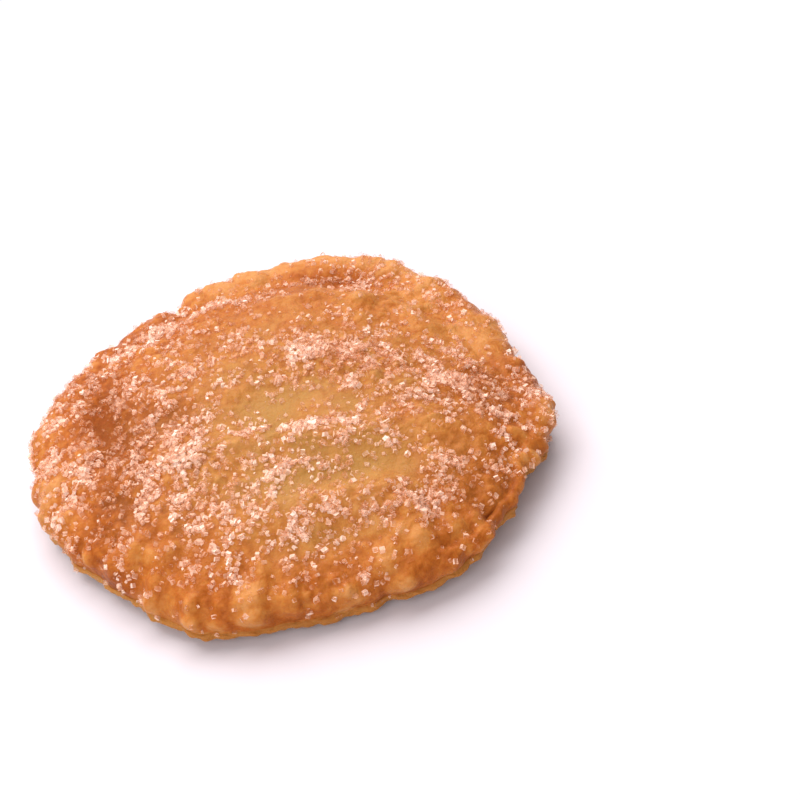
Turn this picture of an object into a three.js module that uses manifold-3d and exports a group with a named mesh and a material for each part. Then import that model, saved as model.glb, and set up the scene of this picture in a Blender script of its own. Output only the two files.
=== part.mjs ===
// Apple fritter: an apple filling shut between two round sheets of puff pastry, deep-fried until it
// blisters and strewn with cinnamon sugar. Millimetres, +Z up. It lies on z = 0 with its sugared side
// up, and the middle of its box is over the origin.

import * as THREE from "three";
import { mergeVertices } from "three/addons/utils/BufferGeometryUtils.js";
import Module from "manifold-3d";

// Driving dimensions
const WAIST = 54.3; // radius of the outline between its lobes
const CROWN = 21.5; // height of the crown over the filling
const CROWN_POWER = 3; // 2 is a round dome, more is a flatter crown with a steeper flank
const BEAD = 5.8; // radius of the puffed rim of the upper sheet
const RIM_HEIGHT = 6.8; // middle of that rim above the table
const LIP = 0.9; // radius of the lower sheet's edge, which shows under the rim
const FOOT = 33; // radius of the flat the fritter rests on
const UNDER_WAVE = 0.35; // how far the underside waves between the flat and the lip

// Angles round the rim's section: 0 points outwards and 90 up
const VALLEY_ANGLE = THREE.MathUtils.degToRad(130); // the crown meets the rim in a valley here
const FLANK_ANGLE = THREE.MathUtils.degToRad(60); // and here where it runs into the rim with no valley
const SEAM_ANGLE = THREE.MathUtils.degToRad(-50); // the lower sheet starts here
const OPEN_ANGLE = THREE.MathUtils.degToRad(-15); // and here where its edge stands out
const LIP_START = THREE.MathUtils.degToRad(70);
const LIP_END = THREE.MathUtils.degToRad(-90);

// The outline's lobes: where they point in degrees, how wide they are and how far they swell
const LOBES = [
  { at: 73, wide: 38, swell: 2.6 },
  { at: 173, wide: 33, swell: 6.8 },
  { at: 181, wide: 11, swell: -1.7 },
  { at: 247, wide: 19, swell: 5.1 },
  { at: 303, wide: 27, swell: 8.4 },
  { at: 342, wide: 15, swell: 5.4 },
];

// Tears in the rim, in the same terms
const TEARS = [
  { at: 115, wide: 2.6, swell: -3.4 },
  { at: 284, wide: 2.2, swell: -1.2 },
  { at: 326, wide: 2.6, swell: -2.4 },
];
const TEAR_POWER = 8; // the higher, the less the tears run into the crown

// Where the rim is a thin lip and where it is plumper, as a share of its radius
const PLUMPNESS = [
  { at: 320, wide: 30, swell: -0.65 },
  { at: 60, wide: 60, swell: 0.1 },
];

// Where the rim rides higher or lower, in mm
const SWAY = [
  { at: 75, wide: 50, swell: 0.9 },
  { at: 175, wide: 40, swell: 0.6 },
  { at: 240, wide: 35, swell: -0.8 },
  { at: 322, wide: 28, swell: 1.6 },
];

// Where the crown runs into the rim, where the lower sheet's edge stands out, and where the rim's blisters
// are higher, as shares
const FLANKS = [
  { at: 220, wide: 75, swell: 1.2 },
  { at: 318, wide: 26, swell: 0.5 },
];
const OPENINGS = [{ at: 235, wide: 45, swell: 1.1 }];
const BUMPINESS = [
  { at: 242, wide: 36, swell: 2.2 },
  { at: 285, wide: 25, swell: 1.2 },
];

// Hollows and swellings of the crown: middle, half-length, half-width, turn in degrees and lift
const SWELLINGS = [
  { x: -4, y: -6, long: 13, wide: 8, turn: 5, lift: -2.2 },
  { x: 15, y: -31, long: 13, wide: 4.5, turn: 3, lift: -1.8 },
  { x: 4, y: -46, long: 13, wide: 3, turn: 0, lift: -1.1 },
  { x: -40, y: 6, long: 15, wide: 4.5, turn: 96, lift: -3 },
  { x: -26, y: -3, long: 7, wide: 5, turn: -20, lift: -1.2 },
  { x: 16, y: 42, long: 22, wide: 4, turn: -20, lift: -2 },
  { x: 8, y: -20, long: 20, wide: 3.5, turn: -8, lift: 1.4 },
  { x: 8, y: -38, long: 16, wide: 3, turn: -3, lift: 1.5 },
  { x: -14, y: -17, long: 10, wide: 4, turn: -15, lift: 1 },
  { x: 1, y: 31, long: 4.5, wide: 3, turn: 0, lift: 1.4 },
  { x: 11, y: 31, long: 4.5, wide: 3, turn: -5, lift: 1.5 },
  { x: 24, y: 27, long: 5.5, wide: 3.5, turn: -20, lift: 1.6 },
  { x: 35, y: 15, long: 6, wide: 3.5, turn: -50, lift: 1.5 },
  { x: 44, y: -3, long: 7, wide: 5, turn: 80, lift: 1.3 },
  { x: 29, y: -10, long: 6, wide: 3.5, turn: -20, lift: 1.1 },
  { x: 31, y: -20, long: 6, wide: 3, turn: -10, lift: 1 },
  { x: 41, y: -24, long: 7, wide: 5, turn: -60, lift: 1.1 },
  { x: 23, y: -46, long: 8, wide: 3, turn: 118, lift: 1.4 },
  { x: -13, y: 36, long: 7, wide: 4, turn: 15, lift: 1.1 },
  { x: -36, y: -34, long: 9, wide: 5, turn: 135, lift: 1.2 },
];

// Drifts of sugar: middle, half-length, half-width, turn in degrees and share covered
const DRIFTS = [
  { x: -27, y: 36, long: 12, wide: 4, turn: 35, cover: 0.55 },
  { x: -12, y: 38, long: 9, wide: 4, turn: -10, cover: 0.25 },
  { x: 8, y: 47, long: 7, wide: 3, turn: 0, cover: 0.3 },
  { x: 27, y: 41, long: 10, wide: 3.5, turn: -35, cover: 0.7 },
  { x: 43, y: 22, long: 12, wide: 4, turn: -55, cover: 0.35 },
  { x: 15, y: 4, long: 20, wide: 10, turn: -22, cover: 0.7 },
  { x: 24, y: -8, long: 14, wide: 8, turn: -30, cover: 0.2 },
  { x: -4, y: 14, long: 9, wide: 6, turn: 20, cover: 0.15 },
  { x: 44, y: -11, long: 11, wide: 5, turn: -80, cover: 0.7 },
  { x: 55, y: -16, long: 8, wide: 3.5, turn: 80, cover: 0.4 },
  { x: 33, y: -33, long: 4, wide: 3, turn: 25, cover: 0.3 },
  { x: 19, y: -41, long: 7, wide: 4, turn: 20, cover: 0.55 },
  { x: 41, y: -39, long: 8, wide: 4, turn: 50, cover: 0.15 },
  { x: 3, y: -16, long: 20, wide: 4.5, turn: -20, cover: 0.55 },
  { x: 10, y: -20, long: 6, wide: 3, turn: -10, cover: 0.4 },
  { x: 0, y: -25, long: 12, wide: 3.5, turn: -12, cover: 0.5 },
  { x: -27, y: -9, long: 13, wide: 11, turn: -30, cover: 0.4 },
  { x: -24, y: -17, long: 8, wide: 4, turn: -25, cover: 0.3 },
  { x: -17, y: -30, long: 15, wide: 6, turn: -20, cover: 0.6 },
  { x: 2, y: -41, long: 8, wide: 3.5, turn: 0, cover: 0.2 },
  { x: -14, y: -47, long: 10, wide: 4, turn: -20, cover: 0.2 },
  { x: -23, y: 10, long: 10, wide: 10, turn: 0, cover: 0.3 },
  { x: -41, y: 8, long: 15, wide: 7, turn: 96, cover: 0.35 },
  { x: -45, y: -10, long: 7, wide: 8, turn: 0, cover: 0.25 },
  { x: -53, y: 0, long: 20, wide: 4.5, turn: 88, cover: 0.38 },
];
const DUSTING = 0.06; // share covered away from the drifts

// Knuckles: the bumps that ruffle the edges all the way round
const KNUCKLES = 56;
const KNUCKLE_OUT = 0.7; // how far they push the rim out
const KNUCKLE_LIFT = 0.5; // how far they stand up from the rim
const KNUCKLE_MEAN = 0.4; // the ruffle's level between valleys and tops
const THIN_RUFFLE = 1.2; // how much more the rim ruffles where it is thin
const LIP_KNUCKLES = 31;
const LIP_OUT = 1.5; // how far they push the lower sheet's edge out
const LIP_TUCK = 0.8; // how far that edge keeps inside the rim
const LIP_STAND = 0.9; // and how far it stands out where it is open

// Blisters: small domes all over the upper sheet, as it would lie unrolled
const BLISTERS = 210;
const BLISTER_SPREAD = 66; // radius of the unrolled sheet that they cover
const BLISTER_RADIUS = [2.8, 5.2];
const BLISTER_LIFT = [0.4, 1.2];

// The valley behind the rim is filled in by a fillet
const FILLET = 0.9;
const FILLET_WIDTH = 2.2;

// Sugar: clumps of crystals fused to the crust
const CLUMPS = 110;
const CLUMP_RADIUS = [0.9, 1.5];
const CLUMP_SUNK = 0.15; // share of its radius that a clump's middle lies under the crust
const CLUMP_SPACING = 2.4;
const CLUMP_TRIES = 4000;
const CLUMP_REACH = 0.86; // how far out clumps lie, as a share of the upper sheet's rings
const CLUMP_COVER = [0.3, 0.9]; // share of sugar a place needs to hold a clump, by chance between these

// Mesh: ring k of the upper sheet has 6 k corners, and the lower sheet keeps the last ring's corners
const RINGS = 28;
const CORNERS = 6 * RINGS;
const CROWN_RINGS = 0.8; // share of the rings inside the valley behind the rim
const LIP_ROWS = 3;
const UNDER_ROWS = 3;

const TURN = 2 * Math.PI;
const GOLDEN_ANGLE = Math.PI * (3 - Math.sqrt(5));
const PLASTIC_NUMBER = 1.32471795724; // its powers spread points evenly over a square

// A repeatable number from 0 to 1 for item i: the fraction left of a large multiple of a sine.
function chance(i, salt) {
  const v = Math.sin(i * 12.9898 + salt * 78.233) * 43758.5453;
  return v - Math.floor(v);
}

function between([low, high], share) {
  return low + (high - low) * share;
}

// The angle from a to b the short way round, in radians.
function turnBetween(a, b) {
  const d = (b - a) % TURN;
  return d > Math.PI ? d - TURN : d < -Math.PI ? d + TURN : d;
}

// A bell-shaped patch: 1 at its middle and falling off as exp(-d squared) along its two half-sizes.
function patch({ x, y, long, wide, turn }, px, py) {
  const a = THREE.MathUtils.degToRad(turn);
  const along = (px - x) * Math.cos(a) + (py - y) * Math.sin(a);
  const across = (py - y) * Math.cos(a) - (px - x) * Math.sin(a);
  return Math.exp(-((along / long) ** 2) - (across / wide) ** 2);
}

// The sum of bell-shaped swells round the rim at an angle.
function bells(rows, phi) {
  let sum = 0;
  for (const { at, wide, swell } of rows) {
    const off = THREE.MathUtils.radToDeg(turnBetween(THREE.MathUtils.degToRad(at), phi));
    sum += swell * Math.exp(-((off / wide) ** 2));
  }
  return sum;
}

// The ruffle of an edge at an angle, from 0 between knuckles to about 1 on one.
function ruffle(phi, count, salt) {
  const pitch = TURN / count;
  let sum = 0;
  for (let i = 0; i < count; i++) {
    const at = (i + 0.6 * (chance(i, salt) - 0.5)) * pitch;
    const wide = pitch * (0.32 + 0.16 * chance(i, salt + 1));
    const high = 0.35 + 0.65 * chance(i, salt + 2);
    sum += high * Math.exp(-((turnBetween(at, phi) / wide) ** 2));
  }
  return Math.min(sum, 1.1);
}

// How far some bells round the rim reach at an angle, at most 1.
function share(rows, phi) {
  return Math.min(bells(rows, phi), 1);
}

// The section of the rim at an angle: a circle with its radius and middle, and the angles on it where the
// crown meets it and where the lower sheet starts. It follows the lobes and tears, rides up and down as it
// goes round, and ruffles most where it is thin.
function rim(phi) {
  const plump = 1 + bells(PLUMPNESS, phi);
  const knuckle = ruffle(phi, KNUCKLES, 1) - KNUCKLE_MEAN;
  const ruffled = KNUCKLE_OUT * (1 + THIN_RUFFLE * (1 - plump)) * knuckle;
  const tear = bells(TEARS, phi);
  const out = WAIST + bells(LOBES, phi) + tear + ruffled;
  const radius = BEAD * plump;
  return {
    out,
    tear,
    radius,
    x: out - radius,
    z: RIM_HEIGHT + bells(SWAY, phi),
    valley: THREE.MathUtils.lerp(VALLEY_ANGLE, FLANK_ANGLE, share(FLANKS, phi)),
    seam: THREE.MathUtils.lerp(SEAM_ANGLE, OPEN_ANGLE, share(OPENINGS, phi)),
    knuckle,
  };
}

// The middle of the lower sheet's rounded edge at an angle.
function lip(phi) {
  const bead = rim(phi);
  const stand = THREE.MathUtils.lerp(-LIP_TUCK, LIP_STAND, share(OPENINGS, phi));
  const ruffled = LIP_OUT * (ruffle(phi, LIP_KNUCKLES, 20) - KNUCKLE_MEAN);
  return {
    x: bead.out + stand + ruffled - LIP,
    z: bead.z + bead.radius * Math.sin(bead.seam) - LIP * Math.sin(LIP_START),
  };
}

// Blisters spread by the golden angle, higher towards the rim and most of all on its near flank.
const blisters = Array.from({ length: BLISTERS }, (_, i) => {
  const reach = Math.sqrt((i + 0.5) / BLISTERS);
  const at = i * GOLDEN_ANGLE + 0.5 * (chance(i, 4) - 0.5);
  const swell = 0.35 + 0.65 * reach ** 2 + bells(BUMPINESS, at) * reach ** 6;
  return {
    u: BLISTER_SPREAD * reach * Math.cos(at),
    v: BLISTER_SPREAD * reach * Math.sin(at),
    radius: between(BLISTER_RADIUS, chance(i, 5)),
    lift: between(BLISTER_LIFT, chance(i, 6)) * swell,
  };
});

// Lift by the highest blister at a place on the unrolled sheet, so that they meet in creases.
function blisterLift(u, v) {
  let lift = 0;
  for (const b of blisters) {
    const d = ((u - b.u) ** 2 + (v - b.v) ** 2) / b.radius ** 2;
    if (d < 1) lift = Math.max(lift, b.lift * (1 - d) ** 2);
  }
  return lift;
}

// Lift by the hollows and swellings of the crown at a plan position.
function swellingLift(x, y) {
  let lift = 0;
  for (const s of SWELLINGS) lift += s.lift * patch(s, x, y);
  return lift;
}

// Share of the crust that sugar covers at a plan position.
function sugared(x, y) {
  let cover = DUSTING;
  for (const d of DRIFTS) cover += d.cover * patch(d, x, y);
  return Math.min(cover, 1);
}

// A point of the upper sheet and the way its relief lifts it. reach runs from 0 at the crown over the place
// where it meets the rim to 1 at the seam: a dome that falls off as a power, then an arc round the bead,
// which flares into the lip where that is open.
function upperSheet(phi, reach) {
  const bead = rim(phi);
  const valleyX = bead.x + bead.radius * Math.cos(bead.valley);
  const valleyZ = bead.z + bead.radius * Math.sin(bead.valley);
  let r, z, length, way;
  if (reach < CROWN_RINGS) {
    const q = reach / CROWN_RINGS;
    r = q * (valleyX - bead.tear * (1 - q ** TEAR_POWER));
    z = valleyZ + (CROWN - valleyZ) * (1 - q ** CROWN_POWER);
    length = r;
    way = Math.PI / 2;
  } else {
    const q = (reach - CROWN_RINGS) / (1 - CROWN_RINGS);
    const a = THREE.MathUtils.lerp(bead.valley, bead.seam, q);
    const flare = lip(phi).x + LIP * Math.cos(LIP_START) - bead.x - bead.radius * Math.cos(bead.seam);
    const flared = share(OPENINGS, phi) * THREE.MathUtils.smoothstep(q, 0.3, 1);
    r = bead.x + bead.radius * Math.cos(a) + flared * flare;
    z = bead.z + bead.radius * Math.sin(a);
    length = valleyX + bead.radius * (bead.valley - a);
    way = Math.min(a, Math.PI / 2);
  }
  const cos = Math.cos(phi);
  const sin = Math.sin(phi);
  const pleat = KNUCKLE_LIFT * (1 + bells(BUMPINESS, phi)) * bead.knuckle;
  const pleated = pleat * THREE.MathUtils.smoothstep(reach, 0.6, CROWN_RINGS);
  const relief = swellingLift(r * cos, r * sin) + blisterLift(length * cos, length * sin) + pleated;
  const fillet = (1 - share(FLANKS, phi)) * Math.exp(-(((length - valleyX) / FILLET_WIDTH) ** 2));
  const lift = FILLET * fillet + relief * (1 - THREE.MathUtils.smoothstep(reach, 0.9, 1));
  const normal = new THREE.Vector3(Math.cos(way) * cos, Math.cos(way) * sin, Math.sin(way));
  return { point: new THREE.Vector3(r * cos, r * sin, z).addScaledVector(normal, lift), normal };
}

// A point of the lower sheet. row runs from 0 at the seam, round the lip's arc to LIP_ROWS, then in
// under the fritter to the edge of its flat.
function lowerSheet(phi, row) {
  const edge = lip(phi);
  let r, z;
  if (row <= LIP_ROWS) {
    const a = LIP_START + ((LIP_END - LIP_START) * row) / LIP_ROWS;
    r = edge.x + LIP * Math.cos(a);
    z = edge.z + LIP * Math.sin(a);
  } else {
    const inwards = (row - LIP_ROWS) / UNDER_ROWS;
    const wave = Math.sin(5 * phi + 1.3) + Math.sin(8 * phi);
    r = THREE.MathUtils.lerp(edge.x, FOOT, inwards);
    z = (edge.z - LIP) * (1 - inwards) ** 2 + UNDER_WAVE * (2 + wave) * inwards * (1 - inwards);
  }
  return new THREE.Vector3(r * Math.cos(phi), r * Math.sin(phi), z);
}

// The two sheets as one closed mesh: rings over the top, rows round the lip and under, and a fan of
// triangles for the flat.
function pastryGeometry() {
  const points = [upperSheet(0, 0).point];
  const faces = [];
  const ringStart = (k) => (k === 0 ? 0 : 1 + 3 * k * (k - 1));
  for (let k = 1; k <= RINGS; k++) {
    for (let j = 0; j < 6 * k; j++) points.push(upperSheet((TURN * j) / (6 * k), k / RINGS).point);
    const outer = (j) => ringStart(k) + (j % (6 * k));
    const inner = (j) => (k === 1 ? 0 : ringStart(k - 1) + (j % (6 * (k - 1))));
    for (let sector = 0; sector < 6; sector++) {
      for (let j = 0; j < k; j++) {
        const out = sector * k + j;
        const within = sector * (k - 1) + j;
        faces.push(outer(out), outer(out + 1), inner(within));
        if (j < k - 1) faces.push(outer(out + 1), inner(within + 1), inner(within));
      }
    }
  }
  let above = ringStart(RINGS);
  for (let row = 1; row <= LIP_ROWS + UNDER_ROWS; row++) {
    const below = points.length;
    for (let j = 0; j < CORNERS; j++) {
      const next = (j + 1) % CORNERS;
      points.push(lowerSheet((TURN * j) / CORNERS, row));
      faces.push(above + j, below + j, below + next, above + j, below + next, above + next);
    }
    above = below;
  }
  const middle = points.length;
  points.push(new THREE.Vector3(0, 0, 0));
  for (let j = 0; j < CORNERS; j++) faces.push(above + j, middle, above + ((j + 1) % CORNERS));
  return new THREE.BufferGeometry().setFromPoints(points).setIndex(faces);
}

// One clump of sugar: an icosahedron with uneven corners, sunk a little into the crust.
function clumpGeometry(i, { point, normal }) {
  const radius = between(CLUMP_RADIUS, chance(i, 9) ** 2);
  const ball = new THREE.IcosahedronGeometry(radius, 0);
  ball.deleteAttribute("normal");
  ball.deleteAttribute("uv");
  const clump = mergeVertices(ball);
  const corners = clump.getAttribute("position");
  const corner = new THREE.Vector3();
  const turn = new THREE.Quaternion().setFromEuler(
    new THREE.Euler(TURN * chance(i, 10), TURN * chance(i, 11), TURN * chance(i, 12)),
  );
  for (let v = 0; v < corners.count; v++) {
    corner.fromBufferAttribute(corners, v).applyQuaternion(turn);
    corner.multiplyScalar(0.8 + 0.4 * chance(i * corners.count + v, 13)).add(point);
    corner.addScaledVector(normal, -CLUMP_SUNK * radius);
    corners.setXYZ(v, corner.x, corner.y, corner.z);
  }
  return clump;
}

// Where the clumps lie: tries spread evenly over the top are taken in turn, and each is kept if the
// drifts cover that place enough and no clump lies there yet.
function clumpPlaces() {
  const places = [];
  for (let i = 0; i < CLUMP_TRIES && places.length < CLUMPS; i++) {
    const phi = TURN * ((i / PLASTIC_NUMBER + 0.03 * chance(i, 7)) % 1);
    const reach = CLUMP_REACH * Math.sqrt((i / PLASTIC_NUMBER ** 2) % 1);
    const place = upperSheet(phi, reach);
    const wanted = sugared(place.point.x, place.point.y) > between(CLUMP_COVER, chance(i, 8));
    const room = places.every(({ point }) => point.distanceTo(place.point) > CLUMP_SPACING);
    if (wanted && room) places.push(place);
  }
  return places;
}

const wasm = await Module();
wasm.setup();

function solidOf(geometry) {
  return new wasm.Manifold(
    new wasm.Mesh({
      numProp: 3,
      vertProperties: new Float32Array(geometry.getAttribute("position").array),
      triVerts: new Uint32Array(geometry.index.array),
    }),
  );
}

function geometryOf(solid) {
  const mesh = solid.getMesh();
  return new THREE.BufferGeometry()
    .setAttribute("position", new THREE.BufferAttribute(mesh.vertProperties, mesh.numProp))
    .setIndex(new THREE.BufferAttribute(mesh.triVerts, 1));
}

// The pastry with its sugar fused on, moved so that its box is centred over the origin.
function fritterGeometry() {
  let solid = solidOf(pastryGeometry());
  clumpPlaces().forEach((place, i) => {
    solid = solid.add(solidOf(clumpGeometry(i, place)));
  });
  const geometry = geometryOf(solid);
  geometry.computeBoundingBox();
  const middle = geometry.boundingBox.getCenter(new THREE.Vector3());
  geometry.translate(-middle.x, -middle.y, 0);
  geometry.computeVertexNormals();
  return geometry;
}

const crust = new THREE.MeshStandardMaterial({ color: 0xd07f45, roughness: 0.45, metalness: 0 });
const fritter = new THREE.Mesh(fritterGeometry(), crust);
fritter.name = "fritter";

const part = new THREE.Group();
part.add(fritter);

export default part;
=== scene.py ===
"""Apple fritter: two round sheets of puff pastry fried shut over a filling, strewn with cinnamon sugar.

Every shape is worked out in millimetres with whole arrays and goes into its mesh in metres, in the frame
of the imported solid: +Z up, the floor at z = 0, the middle of the fritter's box over the origin.
"""

import math
from typing import NamedTuple

import bpy
import numpy as np
from mathutils import Matrix, Vector


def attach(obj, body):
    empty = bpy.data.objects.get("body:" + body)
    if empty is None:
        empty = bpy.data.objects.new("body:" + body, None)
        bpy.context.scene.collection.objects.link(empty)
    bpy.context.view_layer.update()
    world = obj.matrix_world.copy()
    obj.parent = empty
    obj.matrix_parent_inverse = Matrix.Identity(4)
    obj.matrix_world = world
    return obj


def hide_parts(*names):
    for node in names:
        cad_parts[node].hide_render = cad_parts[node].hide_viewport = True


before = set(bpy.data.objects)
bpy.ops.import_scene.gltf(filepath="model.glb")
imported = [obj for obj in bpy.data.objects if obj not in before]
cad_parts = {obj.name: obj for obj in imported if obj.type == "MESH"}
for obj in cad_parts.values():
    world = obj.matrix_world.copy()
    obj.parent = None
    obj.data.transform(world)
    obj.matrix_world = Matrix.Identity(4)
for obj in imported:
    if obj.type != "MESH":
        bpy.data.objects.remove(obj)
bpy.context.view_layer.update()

MM = 0.001
TURN = 2 * math.pi
GOLDEN_ANGLE = math.pi * (3 - math.sqrt(5))
MIX_FACTOR, MIX_A, MIX_B, MIX_RESULT = 0, 6, 7, 2  # sockets of a Mix node that mixes colours

# Driving dimensions, as in the solid
WAIST = 54.3  # radius of the outline between its lobes
CROWN = 21.5  # height of the crown over the filling
CROWN_POWER = 3  # 2 is a round dome, more is a flatter crown with a steeper flank
BEAD = 5.8  # radius of the puffed rim of the upper sheet
RIM_HEIGHT = 6.8  # middle of that rim above the floor
LIP = 0.9  # radius of the lower sheet's edge
FOOT = 33.0  # radius of the flat the fritter rests on

# Angles round the rim's section: 0 points outwards and 90 up
VALLEY_ANGLE = math.radians(130)  # the crown meets the rim in a valley here
FLANK_ANGLE = math.radians(60)  # and here where it runs into the rim with no valley
SEAM_ANGLE = math.radians(-50)  # the lower sheet starts here
OPEN_ANGLE = math.radians(-15)  # and here where its edge stands out
LIP_START = math.radians(70)
LIP_END = math.radians(-90)

# Swells round the rim: where they point in degrees, how wide they are and how far they swell
LOBES = ((73, 38, 2.6), (173, 33, 6.8), (181, 11, -1.7), (247, 19, 5.1), (303, 27, 8.4), (342, 15, 5.4))
TEARS = ((115, 2.6, -3.4), (284, 2.2, -1.2), (326, 2.6, -2.4))
TEAR_POWER = 8  # the higher, the less the tears run into the crown
PLUMPNESS = ((320, 30, -0.65), (60, 60, 0.1))  # how much thicker the rim is, as a share
SWAY = ((75, 50, 0.9), (175, 40, 0.6), (240, 35, -0.8), (322, 28, 1.6))  # how far it rides up
FLANKS = ((220, 75, 1.2), (318, 26, 0.5))  # where the crown runs into the rim
OPENINGS = ((235, 45, 1.1),)  # where the lower sheet's edge stands out
CRIMPED = ((312, 16, 1.2),)  # where the rim is crimped into petals
BUMPINESS = ((242, 36, 2.2), (285, 25, 1.2))  # how much higher the rim's blisters are

# Patches: middle x and y, half-length and half-width in mm, turn in degrees, then lift in mm or share
POOLS = (  # smooth hollows of the crown
    (-4, -6, 13, 8, 5, -2.2),
    (15, -31, 13, 4.5, 3, -1.8),
    (4, -46, 13, 3, 0, -1.1),
)
GROOVES = (  # hollows towards the rim
    (-40, 6, 15, 4.5, 96, -3.0),
    (-26, -3, 7, 5, -20, -1.2),
    (16, 42, 22, 4, -20, -2.0),
)
FOLDS = (  # wrinkled ridges
    (8, -20, 20, 3.5, -8, 1.4),
    (8, -38, 16, 3, -3, 1.5),
    (-14, -17, 10, 4, -15, 1.0),
    (29, -10, 6, 3.5, -20, 1.1),
    (31, -20, 6, 3, -10, 1.0),
    (23, -46, 8, 3, 118, 1.4),
)
SWELLINGS = (  # large blisters that have a place of their own
    (1, 31, 4.5, 3, 0, 1.4),
    (11, 31, 4.5, 3, -5, 1.5),
    (24, 27, 5.5, 3.5, -20, 1.6),
    (35, 15, 6, 3.5, -50, 1.5),
    (44, -3, 7, 5, 80, 1.3),
    (41, -24, 7, 5, -60, 1.1),
    (-13, 36, 7, 4, 15, 1.1),
    (-36, -34, 9, 5, 135, 1.2),
)
DRIFTS = (  # sugar, and below 0 the places it is missing from
    (-27, 36, 12, 4, 35, 0.55),
    (-12, 38, 9, 4, -10, 0.25),
    (8, 47, 7, 3, 0, 0.2),
    (27, 41, 10, 3.5, -35, 0.5),
    (46, 15, 11, 4, -62, 0.17),
    (15, 4, 20, 10, -22, 0.7),
    (28, -9, 13, 8, -30, 0.3),
    (44, -11, 11, 5, -80, 0.7),
    (55, -16, 8, 3.5, 80, 0.4),
    (33, -33, 4, 3, 25, 0.5),
    (28, -42, 4, 3.5, 30, 0.45),
    (14, -54, 5, 3, 0, 0.25),
    (19, -41, 7, 4, 20, 0.55),
    (41, -39, 8, 4, 50, 0.15),
    (3, -16, 20, 4.5, -20, 0.45),
    (10, -20, 6, 3, -10, 0.4),
    (0, -25, 12, 3.5, -12, 0.5),
    (-28, -8, 13, 11, -30, 0.5),
    (-22, -18, 8, 4, -25, 0.45),
    (-17, -30, 15, 6, -20, 0.5),
    (-22, -27, 22, 11, -35, 0.25),
    (4, -43, 12, 5, 5, 0.5),
    (-14, -47, 10, 4, -20, 0.2),
    (-23, 10, 10, 10, 0, 0.3),
    (-42, 8, 18, 8, 96, 0.3),
    (-40, 2, 13, 3.5, 96, -0.36),
    (-45, -11, 7, 8, 0, 0.4),
    (-53, 0, 20, 4.5, 88, 0.38),
    (10, 55, 40, 5, 0, -0.06),
    (5, -55, 50, 8, 0, -0.025),
)
CINNAMON_AND_PAINTED_SHADE = (  # how much browner the sugar is, with cinnamon; the first row, in the left groove, is partly painted shade
    (-40, 8, 15, 7, 96, 0.3),
    (13, 2, 18, 8, -20, 0.13),
    (42, -8, 9, 5, -80, 0.15),
    (-36, -14, 14, 9, -20, 0.06),
)
SMOOTH_FLANK = (-34, -40, 26, 11, -42, 0.6)  # where bubbles are low
PALENESS = ((5, -10, 36, 35, 0, 0.7), (0, -30, 25, 11, -8, 0.4))  # the crown fries paler than the rim
BROWNING_AND_PAINTED_LIGHT = (  # how much browner the crust is, and below 0 lighter: partly real browning, partly painted shade in the grooves and painted light on rim parts that lie in shade and on the far rim's sheen
    (-40, 2, 20, 10, 96, 0.1),
    (-25, -4, 12, 9, -30, 0.3),
    (-28, -31, 8, 6, -20, 0.2),
    (-37, -20, 8, 8, 0, 0.35),
    (38, 25, 13, 8, -50, -0.3),
    (-56, 13, 12, 6, 90, -0.35),
    (-54, -14, 14, 8, 90, -0.4),
    (-34, -49, 8, 5, 132, -0.25),
    (-42, -36, 5, 4, 0, 0.3),
    (-43, -28, 6, 5, 0, 0.2),
    (55, -22, 7, 8, 0, -0.25),
    (8, 53, 45, 7, 0, -0.5),
    (-6, 47, 12, 5, 10, -0.35),
    (4, 44, 22, 4, -5, 0.05),
    (33, 42, 14, 7, -35, -0.7),
    (44, -16, 16, 12, 80, 0.25),
    (47, 9, 8, 11, -65, -0.45),
    (35, -35, 10, 9, 0, 0.22),
    (-2, -52, 50, 10, 0, -0.04),
    (-3, -35, 16, 7, -8, -0.25),
)
LIP_PAINTED_LIGHT = ((210, 24, -0.4), (268, 34, 0.3))  # painted light makes the open lip paler at the side, and painted shade makes it browner in front, where it faces down into shadow
DUSTING = 0.06  # share of the crust that sugar covers away from the drifts
POOL_CLEARING = 0.6  # how much less sugar lies in the pools

# Random patterns: size in mm, height in mm or share, and seed
CRAGS = ((7.0, 0.4, 11), (3.2, 0.16, 12))
BUBBLES = ((5.2, 1.1, 15), (2.9, 0.6, 16), (1.6, 0.25, 17))
BUBBLE_CROWDS = ((12.0, 1.0, 14),)
WRINKLES = ((3.0, 1.0, 18),)
LIP_CRAGS = ((2.4, 0.45, 21), (1.1, 0.405, 25))
UNDER_BUBBLES = ((7.0, 1.0, 22), (3.1, 0.7, 23))
UNDER_CRAGS = ((9.0, 1.0, 24),)
GATHERING = ((2.6, 1.0, 41), (5.5, 0.7, 42))  # where sugar gathers
CLUMP_TINT = ((6.0, 0.12, 43),)  # how the sugar's brown varies from clump to clump
PALE_MOTTLE = ((4.0, 0.4, 44),)
PATTERN_SIDE = 64  # cells after which a pattern repeats
PATTERN_TURN = (0.8, 0.6)  # cosine and sine of its turn, so that its lines don't follow the axes
BUBBLE_RADIUS = (0.35, 0.85)  # as a share of the bubbles' spacing
BUBBLE_HEIGHT = (0.3, 1.0)

# Fine relief
POOL_SMOOTHING = 0.9  # how much lower it is in the pools
BUBBLES_APART = 0.15  # share of the bubbles' height away from their crowds
CROWD_LIMITS = (-0.6, 0.6)
WRINKLE_LIFT = 0.7
WRINKLE_POWER = 4  # the higher, the sharper the wrinkles
WRINKLE_PITCH = (0.5, 1.6)  # how closely the pattern is packed in x and y, so that wrinkles run along x

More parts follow.
